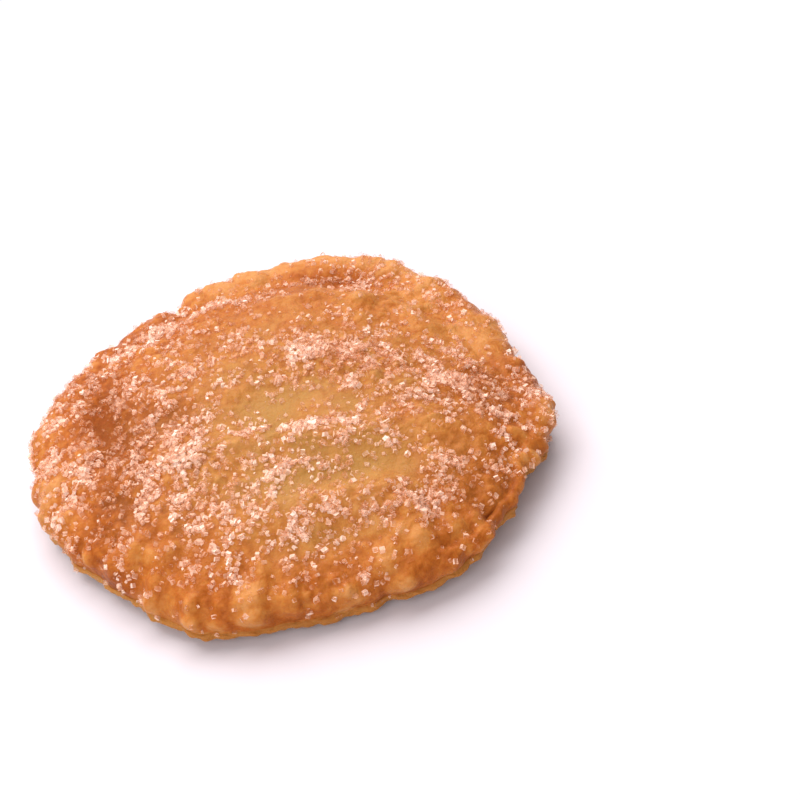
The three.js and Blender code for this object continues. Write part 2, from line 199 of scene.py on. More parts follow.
# Knuckles and crimps that ruffle the edges: bells, whose moves and widths are shares of their pitch
RUFFLE_MOVE = 0.6  # range of what they move by from even places
RUFFLE_WIDTH = (0.32, 0.48)
RUFFLE_HEIGHT = (0.35, 1.0)
RUFFLE_LIMIT = 1.1
KNUCKLES = 56
KNUCKLE_SALT = 1
KNUCKLE_OUT = 0.7
KNUCKLE_LIFT = 0.5
KNUCKLE_MEAN = 0.4
THIN_RUFFLE = 1.2  # how much more the rim ruffles where it is thin
PETALS = 82
PETAL_SALT = 30
PETAL_OUT = 1.6  # how far petals stand out where the rim is crimped
PETAL_MEAN = 0.65
PETAL_LIFT = 1.2
PETAL_ELSEWHERE = 0.25  # share of that on the rest of the rim
CREASE = 1.4  # depth of the crease behind the petals
CREASE_WIDTH = 1.2
LIP_KNUCKLES = 31
LIP_SALT = 20
LIP_OUT = 1.5
LIP_TUCK = 0.8  # how far the lip's edge keeps inside the rim
LIP_STAND = 0.9  # and how far it stands out where it is open
LIP_UNROLLED = 5.0  # length of the lip's section in its pattern of crags

# Blisters over the whole upper sheet
BLISTERS = 210
BLISTER_SPREAD = 66.0  # radius of the unrolled sheet that they cover
BLISTER_RADIUS = (2.8, 5.2)
BLISTER_LIFT = (0.4, 1.2)
BLISTER_SALT = 4
BLISTER_MOVE = 0.5  # range of the angles that they move by from even places
BLISTER_SWELL = (0.35, 1.0)  # how high they are at the middle of the crown and at the rim
BUMP_POWER = 6  # the higher, the closer to the rim the highest ones keep

# The valley behind the rim is filled in by a fillet
FILLET = 0.9
FILLET_WIDTH = 2.2

# The underside waves between the flat and the lip: waves in a turn and where they start
UNDER_WAVE = 0.35
UNDER_WAVES = ((5, 1.3), (8, 0.0))
UNDER_HOLLOW = 0.7  # how far the hollows between its bubbles lie above them
UNDER_CRAG = 0.3
UNDER_CRAG_LIMITS = (-0.4, 1)
UNDER_EDGE = 0.08  # share of its reach over which they run out at the lip

# Where things start and end along the upper sheet's reach
PLEATS_FROM = 0.6
PETALS_FROM, PETALS_TO = 0.76, 0.86
RELIEF_TO = 0.9
FLARE_FROM = 0.3  # share of the bead

# Mesh: ring k of a sheet has 6 k corners
UPPER_RINGS = 144
UNDER_RINGS = UPPER_RINGS // 2
CROWN_RINGS = 0.8  # share of the upper rings inside the valley behind the rim
LIP_ROWS = 9


def chance(i, salt):
    """A repeatable number from 0 to 1 for item i: the fraction left of a large multiple of a sine."""
    v = np.sin(np.asarray(i) * 12.9898 + salt * 78.233) * 43758.5453
    return v - np.floor(v)


def ease(x, low, high):
    """0 below low, 1 above high, and between them a smooth S."""
    t = np.clip((x - low) / (high - low), 0, 1)
    return t * t * (3 - 2 * t)


def between(limits, part):
    """The number a part of the way from the first limit to the second."""
    return limits[0] + (limits[1] - limits[0]) * part


def short_turn(angle):
    """An angle brought to within half a turn of 0."""
    return (angle + math.pi) % TURN - math.pi


def patch(row, x, y):
    """A bell-shaped patch: 1 at its middle, falling off as exp(-d squared) along its two half-sizes."""
    middle_x, middle_y, long, wide, turn, _ = row
    cos, sin = math.cos(math.radians(turn)), math.sin(math.radians(turn))
    along = (x - middle_x) * cos + (y - middle_y) * sin
    across = (y - middle_y) * cos - (x - middle_x) * sin
    return np.exp(-((along / long) ** 2) - (across / wide) ** 2)


def patches(rows, x, y):
    """The sum of patches, each times its lift or share, the last number of its row."""
    return sum(row[-1] * patch(row, x, y) for row in rows)


def covered(rows, x, y):
    """How far patches cover a place, whatever their lifts: their sum, at most 1."""
    return np.minimum(sum(patch(row, x, y) for row in rows), 1)


def bells(rows, phi):
    """The sum of bell-shaped swells round the rim at the angles phi."""
    return sum(
        swell * np.exp(-((np.degrees(short_turn(phi - math.radians(at))) / wide) ** 2))
        for at, wide, swell in rows
    )


def ruffle(phi, count, salt):
    """The ruffle of an edge: a count of bells in a turn, of uneven place, width and height."""
    pitch = TURN / count
    i = np.arange(count)
    at = (i + RUFFLE_MOVE * (chance(i, salt) - 0.5)) * pitch
    wide = pitch * between(RUFFLE_WIDTH, chance(i, salt + 1))
    high = between(RUFFLE_HEIGHT, chance(i, salt + 2))
    bell = high * np.exp(-((short_turn(phi[..., None] - at) / wide) ** 2))
    return np.minimum(bell.sum(-1), RUFFLE_LIMIT)


def rough(x, y, grain, seed):
    """Smooth random height from -1 to 1: a grid of random numbers grain mm apart, eased between them."""
    side = PATTERN_SIDE
    grid = np.random.default_rng(seed).uniform(-1, 1, (side, side))
    cos, sin = PATTERN_TURN
    a, b = (x * cos - y * sin) / grain, (x * sin + y * cos) / grain
    i, j = np.floor(a).astype(int), np.floor(b).astype(int)
    s, t = ease(a - i, 0, 1), ease(b - j, 0, 1)
    near = grid[i % side, j % side] * (1 - s) + grid[(i + 1) % side, j % side] * s
    far = grid[i % side, (j + 1) % side] * (1 - s) + grid[(i + 1) % side, (j + 1) % side] * s
    return near * (1 - t) + far * t


def bubbles(x, y, spacing, seed):
    """Fried bubbles from 0 to about 1: one dome (1 - d squared) squared per cell of a grid, moved, sized
    and raised at random."""
    side = PATTERN_SIDE
    draws = np.random.default_rng(seed).random((4, side, side))
    i, j = np.floor(x / spacing).astype(int), np.floor(y / spacing).astype(int)
    height = np.zeros_like(x)
    for step_x in (-1, 0, 1):
        for step_y in (-1, 0, 1):
            cell = (i + step_x, j + step_y)
            move_x, move_y, size, lift = draws[:, cell[0] % side, cell[1] % side]
            radius = spacing * between(BUBBLE_RADIUS, size)
            off_x = x - (cell[0] + move_x) * spacing
            off_y = y - (cell[1] + move_y) * spacing
            inside = np.clip(1 - (off_x**2 + off_y**2) / radius**2, 0, None)
            height = np.maximum(height, between(BUBBLE_HEIGHT, lift) * inside**2)
    return height


def layered(pattern, rows, x, y):
    """The sum of a random pattern in several sizes, each times its height or share."""
    return sum(height * pattern(x, y, size, seed) for size, height, seed in rows)


class Section(NamedTuple):
    """The rim's section at some angles round the fritter: outer radius, the tears' share of that, bead
    radius and height of the bead's middle in mm, how far it is crimped, how far a petal stands out there,
    and the angles on the bead where the crown meets it and where the lower sheet starts."""

    out: np.ndarray
    tear: np.ndarray
    bead: np.ndarray
    bead_z: np.ndarray
    crimped: np.ndarray
    petal: np.ndarray
    valley: np.ndarray
    seam: np.ndarray


def share(rows, phi):
    """How far some bells round the rim reach, at most 1."""
    return np.minimum(bells(rows, phi), 1)


def rim(phi):
    """The rim follows the lobes and tears and rides up and down. It ruffles most where it is thin, and is
    crimped there into petals: the square root of a finer ruffle, which has rounder tops."""
    plump = 1 + bells(PLUMPNESS, phi)
    knuckle = (1 + THIN_RUFFLE * (1 - plump)) * (ruffle(phi, KNUCKLES, KNUCKLE_SALT) - KNUCKLE_MEAN)
    crimped = share(CRIMPED, phi)
    petal = np.sqrt(ruffle(phi, PETALS, PETAL_SALT)) - PETAL_MEAN
    tear = bells(TEARS, phi)
    petal_out = PETAL_OUT * (PETAL_ELSEWHERE + (1 - PETAL_ELSEWHERE) * crimped) * petal
    return Section(
        out=WAIST + bells(LOBES, phi) + tear + KNUCKLE_OUT * knuckle + petal_out,
        tear=tear,
        bead=BEAD * plump,
        bead_z=RIM_HEIGHT + bells(SWAY, phi),
        crimped=crimped,
        petal=petal,
        valley=VALLEY_ANGLE + (FLANK_ANGLE - VALLEY_ANGLE) * share(FLANKS, phi),
        seam=SEAM_ANGLE + (OPEN_ANGLE - SEAM_ANGLE) * share(OPENINGS, phi),
    )


def blister_lift(u, v):
    """Blisters spread by the golden angle over the unrolled sheet: domes (1 - d squared) squared that meet
    in creases, higher towards the rim and most of all on the near flank."""
    i = np.arange(BLISTERS)
    reach = np.sqrt((i + 0.5) / BLISTERS)
    at = i * GOLDEN_ANGLE + BLISTER_MOVE * (chance(i, BLISTER_SALT) - 0.5)
    radius = between(BLISTER_RADIUS, chance(i, BLISTER_SALT + 1))
    swell = between(BLISTER_SWELL, reach**2) + bells(BUMPINESS, at) * reach**BUMP_POWER
    lift = between(BLISTER_LIFT, chance(i, BLISTER_SALT + 2)) * swell
    middle_u, middle_v = BLISTER_SPREAD * reach * np.cos(at), BLISTER_SPREAD * reach * np.sin(at)
    height = np.zeros_like(u)
    for mu, mv, r, high in zip(middle_u, middle_v, radius, lift):
        dome = high * np.clip(1 - ((u - mu) ** 2 + (v - mv) ** 2) / r**2, 0, None) ** 2
        height = np.maximum(height, dome)
    return height


def calm(x, y):
    """1 in the smooth pools of the crown and 0 away from them."""
    return covered(POOLS, x, y)


def sugared(x, y):
    """Share of the crust that sugar covers, less in the smooth pools."""
    return np.clip(DUSTING + patches(DRIFTS, x, y), 0, 1) * (1 - POOL_CLEARING * calm(x, y))


def sugar_cinnamon_and_painted_shade(x, y):
    """How much browner than elsewhere the sugar is: in patches of cinnamon, the one in the left groove
    partly painted shade, and a little from clump to clump.
    """
    return patches(CINNAMON_AND_PAINTED_SHADE, x, y) + layered(rough, CLUMP_TINT, x, y)


def fine_relief(x, y, u, v):
    """Crowds of small bubbles in three sizes and low crags, faint in the pools and low on the smooth flank,
    and wrinkles along the folds: 1 less the size of a random height, to a power.
    x and y are plan positions, u and v are places on the unrolled sheet."""
    loud = (1 - POOL_SMOOTHING * calm(x, y)) * (1 - patches((SMOOTH_FLANK,), x, y))
    crowd = ease(layered(rough, BUBBLE_CROWDS, u, v), *CROWD_LIMITS)
    bubble = layered(bubbles, BUBBLES, u, v) * between((BUBBLES_APART, 1), crowd)
    pitch_x, pitch_y = WRINKLE_PITCH
    crease = 1 - np.abs(layered(rough, WRINKLES, pitch_x * u, pitch_y * v))
    wrinkle = WRINKLE_LIFT * covered(FOLDS, x, y) * crease**WRINKLE_POWER
    return loud * (layered(rough, CRAGS, u, v) + bubble) + wrinkle


def upper_sheet(phi, reach):
    """Points of the upper sheet, and how proud they stand of it. reach runs from 0 at the crown over the
    place where it meets the rim to 1 at the seam: a dome that falls off as a power, then an arc round the
    bead, which flares into the lip where that is open. Relief lifts it straight up on the crown and square
    to the bead outside its top."""
    section = rim(phi)
    bead_x = section.out - section.bead
    valley_x = bead_x + section.bead * np.cos(section.valley)
    valley_z = section.bead_z + section.bead * np.sin(section.valley)
    on_bead = reach >= CROWN_RINGS
    inside = np.clip(reach / CROWN_RINGS, 0, 1)
    beyond = np.clip((reach - CROWN_RINGS) / (1 - CROWN_RINGS), 0, 1)
    angle = section.valley + (section.seam - section.valley) * beyond
    dome = valley_z + (CROWN - valley_z) * (1 - inside**CROWN_POWER)
    on_crown = inside * (valley_x - section.tear * (1 - inside**TEAR_POWER))
    r = np.where(on_bead, bead_x + section.bead * np.cos(angle), on_crown)
    z = np.where(on_bead, section.bead_z + section.bead * np.sin(angle), dome)
    lip_x, _ = lower_section(phi)
    flare = lip_x + LIP * math.cos(LIP_START) - bead_x - section.bead * np.cos(section.seam)
    r = r + share(OPENINGS, phi) * flare * ease(beyond, FLARE_FROM, 1)
    length = np.where(on_bead, valley_x + section.bead * (section.valley - angle), r)
    cos, sin = np.cos(phi), np.sin(phi)
    x, y, u, v = r * cos, r * sin, length * cos, length * sin
    blisters = blister_lift(u, v)
    fine = fine_relief(x, y, u, v)
    large = patches(POOLS + GROOVES + FOLDS + SWELLINGS, x, y)
    knuckle = ruffle(phi, KNUCKLES, KNUCKLE_SALT) - KNUCKLE_MEAN
    pleat = KNUCKLE_LIFT * (1 + bells(BUMPINESS, phi)) * knuckle
    petal = PETAL_LIFT * section.crimped * section.petal
    edge = pleat * ease(reach, PLEATS_FROM, CROWN_RINGS) + petal * ease(reach, PETALS_FROM, PETALS_TO)
    fillet = FILLET * (1 - share(FLANKS, phi)) * np.exp(-(((length - valley_x) / FILLET_WIDTH) ** 2))
    crease = CREASE * section.crimped * np.exp(-(((length - valley_x) / CREASE_WIDTH) ** 2))
    lift = fillet - crease + (large + blisters + fine + edge) * (1 - ease(reach, RELIEF_TO, 1))
    way = np.where(on_bead, np.minimum(angle, math.pi / 2), math.pi / 2)
    r = r + lift * np.cos(way)
    return np.stack([r * cos, r * sin, z + lift * np.sin(way)], -1), blisters + fine


def lower_section(phi):
    """The lower sheet's edge at the angles phi: radius and height of the middle of its rounded lip."""
    section = rim(phi)
    stand = (LIP_TUCK + LIP_STAND) * share(OPENINGS, phi) - LIP_TUCK
    lip_x = section.out + stand + LIP_OUT * (ruffle(phi, LIP_KNUCKLES, LIP_SALT) - KNUCKLE_MEAN) - LIP
    lip_z = section.bead_z + section.bead * np.sin(section.seam) - LIP * math.sin(LIP_START)
    return lip_x, lip_z


def lip_sheet(phi, down):
    """The lower sheet's lip: an arc from the seam, down 0, to its underside, down 1, with small crags."""
    lip_x, lip_z = lower_section(phi)
    angle = LIP_START + (LIP_END - LIP_START) * down
    crag = layered(rough, LIP_CRAGS, phi * WAIST, down * LIP_UNROLLED)
    radius = LIP + np.sin(math.pi * down) * crag
    r = lip_x + radius * np.cos(angle)
    return np.stack([r * np.cos(phi), r * np.sin(phi), lip_z + radius * np.sin(angle)], -1)


def under_sheet(phi, reach):
    """The underside: reach runs from 0 at its middle to 1 at the lip. It sweeps down to the flat it rests
    on, and bubbles stand down from it, so that the hollows between them lie a little higher."""
    lip_x, lip_z = lower_section(phi)
    r = reach * lip_x
    inwards = np.clip((lip_x - r) / (lip_x - FOOT), 0, 1)
    wave = sum(1 + np.sin(count * phi + start) for count, start in UNDER_WAVES)
    sweep = (lip_z - LIP) * (1 - inwards) ** 2 + UNDER_WAVE * wave * inwards * (1 - inwards)
    x, y = r * np.cos(phi), r * np.sin(phi)
    hollow = 1 - np.maximum(*(height * bubbles(x, y, size, seed) for size, height, seed in UNDER_BUBBLES))
    crag = UNDER_CRAG * ease(layered(rough, UNDER_CRAGS, x, y), *UNDER_CRAG_LIMITS)
    relief = (UNDER_HOLLOW * hollow + crag) * ease(1 - reach, 0, UNDER_EDGE)
    return np.stack([x, y, sweep + relief], -1)


def ring_places(rings):
    """Angle and reach of the corners of a disc whose ring k has 6 k corners, its middle first."""
    k = np.repeat(np.arange(1, rings + 1), 6 * np.arange(1, rings + 1))
    j = np.arange(len(k)) - 3 * k * (k - 1)
    return np.append(0, TURN * j / (6 * k)), np.append(0, k / rings)


def ring_faces(rings):
    """Triangles of that disc: each of its six sectors has k outer and k - 1 inner triangles in ring k."""
    rows = []
    for k in range(1, rings + 1):
        start = 1 + 3 * k * (k - 1)
        inner = max(6 * (k - 1), 1)
        out = np.arange(6 * k)
        sector, j = np.divmod(out, k)
        here = start - inner + (sector * (k - 1) + j) % inner
        there = start - inner + (sector * (k - 1) + j + 1) % inner
        following = start + (out + 1) % (6 * k)
        rows.append(np.stack([start + out, following, here], 1))
        rows.append(np.stack([following, there, here], 1)[j < k - 1])
    return np.concatenate(rows)


def band_faces(above, below):
    """Triangles between two rings of corners, the upper one with as many corners as the lower or twice."""
    after_above, after_below = np.roll(above, -1), np.roll(below, -1)
    if len(above) == len(below):
        rows = ((above, below, after_below), (above, after_below, after_above))
    else:
        even, odd, next_even = above[0::2], above[1::2], after_above[1::2]
        rows = ((even, below, odd), (odd, below, after_below), (odd, after_below, next_even))
    return np.concatenate([np.stack(row, 1) for row in rows])


def make_piece(name, points, faces, material, smooth, **marks):
    """A mesh object from corners in millimetres and triangles. Each mark has a number per corner or face."""
    mesh = bpy.data.meshes.new(name)
    mesh.vertices.add(len(points))
    mesh.vertices.foreach_set("co", (points * MM).astype(np.float32).ravel())
    mesh.loops.add(faces.size)
    mesh.loops.foreach_set("vertex_index", faces.astype(np.int32).ravel())
    mesh.polygons.add(len(faces))
    mesh.polygons.foreach_set("loop_start", np.arange(0, faces.size, 3, dtype=np.int32))
    mesh.polygons.foreach_set("use_smooth", np.full(len(faces), smooth))
    for mark, values in marks.items():
        layer = mesh.attributes.new(mark, "FLOAT", "FACE" if len(values) == len(faces) else "POINT")
        layer.data.foreach_set("value", values.astype(np.float32))
    mesh.update(calc_edges=True)
    mesh.materials.append(material)
    piece = bpy.data.objects.new(name, mesh)
    bpy.context.scene.collection.objects.link(piece)
    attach(piece, "root")
    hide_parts("fritter")
    return piece


# Materials

def colour(code):
    """An sRGB hex code such as #d98a4c as linear red, green, blue and alpha."""
    srgb = [int(code[i : i + 2], 16) / 255 for i in (1, 3, 5)]
    return [c / 12.92 if c <= 0.04045 else ((c + 0.055) / 1.055) ** 2.4 for c in srgb] + [1.0]


def add(tree, kind, settings, inputs):
    """Adds a node, sets its properties or a colour ramp's stops, and gives each input a value or the socket
    that feeds it."""
    node = tree.nodes.new(kind)
    for key, value in settings.items():
        if key != "stops":
            setattr(node, key, value)
    for i, (position, code) in enumerate(settings.get("stops", ())):
        elements = node.color_ramp.elements
        element = elements[i] if i < len(elements) else elements.new(position)
        element.position = position
        element.color = colour(code)
    for key, value in inputs.items():
        if isinstance(value, bpy.types.NodeSocket):
            tree.links.new(value, node.inputs[key])
        else:
            node.inputs[key].default_value = value
    return node


def new_material(name):
    """An empty node material with its output node."""
    material = bpy.data.materials.new(name)
    material.use_nodes = True
    tree = material.node_tree
    tree.nodes.clear()
    return material, tree, add(tree, "ShaderNodeOutputMaterial", {}, {})


def fried_crust():
    """Puff pastry fried in oil: yellow and pale on the crown and browner towards the rim. Painted light
    makes blisters golden where they stand proud and lightens rim parts that lie in shade; painted shade
    browns the hollows between blisters and the grooves. Oil gives it a soft gloss, which a dusting of sugar
    and cinnamon darkens and dulls in the drifts, where painted shade also darkens the left groove, and steam
    has left it pitted."""
    mottle_size, speck_size, pit_size = 7 * MM, 1.8 * MM, 0.9 * MM
    material, tree, output = new_material("fried puff pastry")
    place = add(tree, "ShaderNodeTexCoord", {}, {}).outputs["Object"]
    marks = {
        name: add(tree, "ShaderNodeAttribute", {"attribute_name": name}, {}).outputs["Fac"]
        for name in ("brown_and_painted_light", "pale", "dust_and_painted_shade")
    }
    mottle = add(tree, "ShaderNodeTexNoise", {}, {"Vector": place, "Scale": 1 / mottle_size, "Detail": 5.0})
    speck = add(tree, "ShaderNodeTexNoise", {}, {"Vector": place, "Scale": 1 / speck_size, "Detail": 4.0})
    mottle_share, noise_mean = 0.5, 0.74  # about the mean of both noises is taken off again
    varied = add(
        tree, "ShaderNodeMath", {"operation": "MULTIPLY_ADD"},
        {0: mottle.outputs["Fac"], 1: mottle_share, 2: marks["brown_and_painted_light"]},
    )
    specked = add(
        tree, "ShaderNodeMath", {"operation": "ADD"}, {0: speck.outputs["Fac"], 1: varied.outputs[0]}
    )
    browning_and_painted_light = add(
        tree, "ShaderNodeMath", {"operation": "SUBTRACT"}, {0: specked.outputs[0], 1: noise_mean}
    )
    stops = ((0.0, "#c38249"), (0.3, "#b86f2f"), (0.55, "#aa5a1d"), (0.8, "#95460a"), (1.0, "#7f3804"))
    ramp = add(tree, "ShaderNodeValToRGB", {"stops": stops}, {"Fac": browning_and_painted_light.outputs[0]})
    thin = add(
        tree, "ShaderNodeMix", {"data_type": "RGBA"},
        {MIX_FACTOR: marks["pale"], MIX_A: ramp.outputs["Color"], MIX_B: colour("#a47337")},
    )
    patchy = add(
        tree, "ShaderNodeMapRange", {},
        {"Value": speck.outputs["Fac"], "From Min": 0.4, "From Max": 0.62, "To Min": 0.1, "To Max": 1.0},
    )
    veil = add(
        tree, "ShaderNodeMath", {"operation": "MULTIPLY"}, {0: marks["dust_and_painted_shade"], 1: patchy.outputs["Result"]}
    )
    dusted_and_shaded = add(
        tree, "ShaderNodeMix", {"data_type": "RGBA"},
        {MIX_FACTOR: veil.outputs[0], MIX_A: thin.outputs[MIX_RESULT], MIX_B: colour("#843d09")},
    )
    dull = add(
        tree, "ShaderNodeMapRange", {},
        {"Value": mottle.outputs["Fac"], "From Min": 0.3, "From Max": 0.7, "To Min": 0.25, "To Max": 0.42},
    )
    dust_dulls = 0.45
    dusty = add(
        tree, "ShaderNodeMath", {"operation": "MULTIPLY_ADD"},
        {0: marks["dust_and_painted_shade"], 1: dust_dulls, 2: dull.outputs["Result"]},
    )
    pit = add(tree, "ShaderNodeTexNoise", {}, {"Vector": place, "Scale": 1 / pit_size, "Detail": 4.0})
    bump = add(
        tree, "ShaderNodeBump", {}, {"Height": pit.outputs["Fac"], "Strength": 0.8, "Distance": 0.45 * MM}
    )
    skin = add(
        tree, "ShaderNodeBsdfPrincipled", {},
        {
            "Base Color": dusted_and_shaded.outputs[MIX_RESULT],
            "Roughness": dusty.outputs[0],
            "Normal": bump.outputs["Normal"],
            "IOR": 1.4,
            "Specular IOR Level": 0.14,
            "Sheen Weight": 0.06,
            "Sheen Roughness": 0.5,
            "Sheen Tint": colour("#ffe0d4"),
            "Subsurface Weight": 0.15,
            "Subsurface Radius": (1.0, 0.4, 0.1),
            "Subsurface Scale": 1.2 * MM,
        },
    )
    tree.links.new(skin.outputs[0], output.inputs["Surface"])
    return material


def sugar_crystal():
    """Coarse cane sugar: clear glossy crystals whose brightest face tints are painted glints, clearest where
    they face the eye and bright towards their edges, some coated with cinnamon and some darkened by painted
    shade in the left groove."""
    material, tree, output = new_material("coarse sugar crystals")
    tint = add(tree, "ShaderNodeAttribute", {"attribute_name": "tint"}, {}).outputs["Fac"]
    stops = ((0.0, "#fbe8dc"), (0.3, "#f5cfb8"), (0.65, "#e5aa85"), (1.0, "#bc6c38"))
    ramp = add(tree, "ShaderNodeValToRGB", {"stops": stops}, {"Fac": tint})
    bright = add(
        tree, "ShaderNodeMapRange", {}, {"Value": tint, "From Max": 0.85, "To Min": 0.85, "To Max": 0.2}
    )
    facing = add(tree, "ShaderNodeLayerWeight", {}, {"Blend": 0.4}).outputs["Facing"]
    edge = add(tree, "ShaderNodeMapRange", {}, {"Value": facing, "To Min": 0.3, "To Max": 2.0})
    shadow = add(tree, "ShaderNodeLightPath", {}, {}).outputs["Is Shadow Ray"]
    faint = add(tree, "ShaderNodeMapRange", {}, {"Value": shadow, "To Min": 1.0, "To Max": 0.35})
    times = {"operation": "MULTIPLY"}
    cloud = add(tree, "ShaderNodeMath", times, {0: bright.outputs[0], 1: edge.outputs[0]})
    clear = add(tree, "ShaderNodeMath", times, {0: cloud.outputs[0], 1: faint.outputs[0]})
    crystal = add(
        tree, "ShaderNodeBsdfPrincipled", {},
        {"Base Color": ramp.outputs["Color"], "Roughness": 0.08, "IOR": 1.55, "Alpha": clear.outputs[0]},
    )
    tree.links.new(crystal.outputs[0], output.inputs["Surface"])
    return material


def white_card():
    """Matt white card under the fritter. Away from it the card glows evenly, so that it runs into the white
    room without an edge."""
    glow_starts, glow_full = 0.13, 0.26  # metres from the middle
    material, tree, output = new_material("matt white card")
    place = add(tree, "ShaderNodeTexCoord", {}, {}).outputs["Object"]
    away = add(tree, "ShaderNodeVectorMath", {"operation": "LENGTH"}, {0: place}).outputs["Value"]
    share_lit = add(
        tree, "ShaderNodeMapRange", {"interpolation_type": "SMOOTHSTEP"},
        {"Value": away, "From Min": glow_starts, "From Max": glow_full},
    )
    glow = add(tree, "ShaderNodeEmission", {}, {"Color": colour("#ffffff"), "Strength": 1.0})
    card = add(
        tree, "ShaderNodeBsdfPrincipled", {},
        {"Base Color": colour("#d5ccd1"), "Roughness": 0.9, "Specular IOR Level": 0.1},
    )
    mixed = add(
        tree, "ShaderNodeMixShader", {},
        {0: share_lit.outputs["Result"], 1: card.outputs[0], 2: glow.outputs[0]},
    )
    tree.links.new(mixed.outputs[0], output.inputs["Surface"])
    return material


# Crust: brown runs from 0, the lightest, to 1, and holds painted light and shade besides the real browning;
# pale and dust are shares, and dust holds painted shade in the left groove besides the real dust
MIDDLE_BROWN = 0.5
LIP_BROWN = 0.35
LIP_PALENESS = 0.6
POOL_PALENESS = 0.3
PALE_LIGHTENS = 0.5  # how much lighter the brown is where the crust is pale
FORM_PAINTED_LIGHT = 0.12  # painted light and shade: lighter for each mm that swellings lift the crust, darker for each mm that grooves sink it
PROUD_PAINTED_LIGHT = 0.38  # painted light on blisters and bubbles, lighter for each mm that they stand proud, and painted shade in the hollows between them
PROUD_LIMITS = (0.3, 1.7)  # in mm
PROUD_MEAN = 0.8
SUGAR_DUSTS = 0.5  # how much dust there is where sugar covers all of the crust
CINNAMON_AND_SHADE_DUSTS = 3  # and for each part that the sugar is browner: real cinnamon dust, and painted shade in the left groove


def crust_mesh():
    """The two sheets as one closed mesh, with its marks: rings over the top, rows down the lip, and rings
    with half as many corners under it."""
    phi, reach = ring_places(UPPER_RINGS)
    top, proud = upper_sheet(phi, reach)
    corners = 6 * UPPER_RINGS
    around = TURN * np.arange(corners) / corners
    lips = [lip_sheet(around, (row + 1) / LIP_ROWS) for row in range(LIP_ROWS - 1)]
    under_phi, under_reach = ring_places(UNDER_RINGS)
    under = under_sheet(under_phi, under_reach)
    points = np.concatenate([top, *lips, under])
    seam = len(top) - corners + np.arange(corners)
    rows = [seam] + [len(top) + corners * row + np.arange(corners) for row in range(LIP_ROWS - 1)]
    base = len(points) - len(under)
    edge = len(points) - 6 * UNDER_RINGS + np.arange(6 * UNDER_RINGS)
    faces = [ring_faces(UPPER_RINGS)]
    faces += [band_faces(above, below) for above, below in zip(rows, rows[1:] + [edge])]
    faces += [base + ring_faces(UNDER_RINGS)[:, ::-1]]
    x, y = top[:, 0], top[:, 1]
    lower = points[len(top) :]
    # Painted light at the side of the open lip and painted shade in front, where it faces down
    lip_brown_and_painted_light = LIP_BROWN + bells(LIP_PAINTED_LIGHT, np.arctan2(lower[:, 1], lower[:, 0]))
    paleness = patches(PALENESS, x, y)
    pale = paleness * (1 + layered(rough, PALE_MOTTLE, x, y)) + POOL_PALENESS * calm(x, y)
    # Painted light where the crust stands proud or swells, and painted shade in its hollows and grooves
    proud_painted_light = PROUD_PAINTED_LIGHT * (np.clip(proud, *PROUD_LIMITS) - PROUD_MEAN)
    light = FORM_PAINTED_LIGHT * patches(GROOVES + SWELLINGS, x, y) + proud_painted_light
    brown_and_painted_light = MIDDLE_BROWN + patches(BROWNING_AND_PAINTED_LIGHT, x, y) - PALE_LIGHTENS * paleness - light
    # Dust darkens the crust under sugar and cinnamon, and in the left groove it is partly painted shade
    dust_and_painted_shade = SUGAR_DUSTS * sugared(x, y) + CINNAMON_AND_SHADE_DUSTS * patches(CINNAMON_AND_PAINTED_SHADE, x, y)
    marks = {
        "brown_and_painted_light": np.append(brown_and_painted_light, lip_brown_and_painted_light),
        "pale": np.append(np.clip(pale, 0, 1), np.full(len(lower), LIP_PALENESS)),
        "dust_and_painted_shade": np.append(np.clip(dust_and_painted_shade, 0, 1), np.zeros(len(lower))),
    }
    return points, np.concatenate(faces), marks


# Sugar: sizes in mm, and tints from 0, clear, to 1, coated with cinnamon or darkened by painted shade; the
# spread of tint between a crystal's faces is painted glints
GATHER_LIMITS = (-0.4, 0.9)
LEAST_GATHERED = 0.18  # share of a drift's sugar where none gathers
LEVEL_LIMITS = (-0.3, 0.5)  # no sugar where a normal's z is below the first, all of it above the second

CRYSTALS = 8500
CRYSTAL_SEED = 7
CRYSTAL_RADIUS = (0.45, 0.9)
SMALLNESS = 1.2  # the higher, the more small crystals
SIDE_SPREAD = (0.75, 1.25)
CORNER_SPREAD = (0.8, 1.15)
CRYSTAL_SEAT = 0.35  # height of a crystal's middle above the crust, as a share of its radius
STACK = 1.0  # how high crystals lie on each other where they crowd
STACK_LIMITS = (0.35, 0.9)
FACE_PAINTED_GLINTS = 0.7  # how much the faces of one crystal differ: painted glints and darker faces that stand in for light refracted through it
CRYSTAL_TINT = 0.3  # and one crystal from the next
LONE_TINT = 0.15  # and lone crystals from those in a crowd
LONE_LIMIT = 0.3

FINE_GRAINS = 4500
FINE_SEED = 8
FINE_RADIUS = (0.12, 0.24)
FINE_SPREAD = (0.7, 1.3)
FINE_SEAT = 0.3
FINE_TINT = (0.35, 1)


def strewn(count, sheet, rng):
    """Places of grains on the triangles of the upper sheet, drawn by area times the share that sugar covers,
    more where a fine unevenness gathers them and only where the sheet looks up. Gives points, normals and
    how crowded it is there."""
    points, faces = sheet
    corner = points[faces]
    side_a, side_b = corner[:, 1] - corner[:, 0], corner[:, 2] - corner[:, 0]
    across = np.cross(side_a, side_b)
    size = np.linalg.norm(across, axis=1)
    normal = across / size[:, None]
    x, y, _ = corner.mean(1).T
    gathered = ease(layered(rough, GATHERING, x, y), *GATHER_LIMITS)
    crowd = sugared(x, y) * between((LEAST_GATHERED, 1), gathered)
    weight = size * crowd * ease(normal[:, 2], *LEVEL_LIMITS)
    pick = rng.choice(len(weight), count, p=weight / weight.sum())
    a, b = np.sort(rng.random((2, count)), axis=0)
    point = corner[pick, 0] + a[:, None] * side_a[pick] + (b - a)[:, None] * side_b[pick]
    return point, normal[pick], crowd[pick]


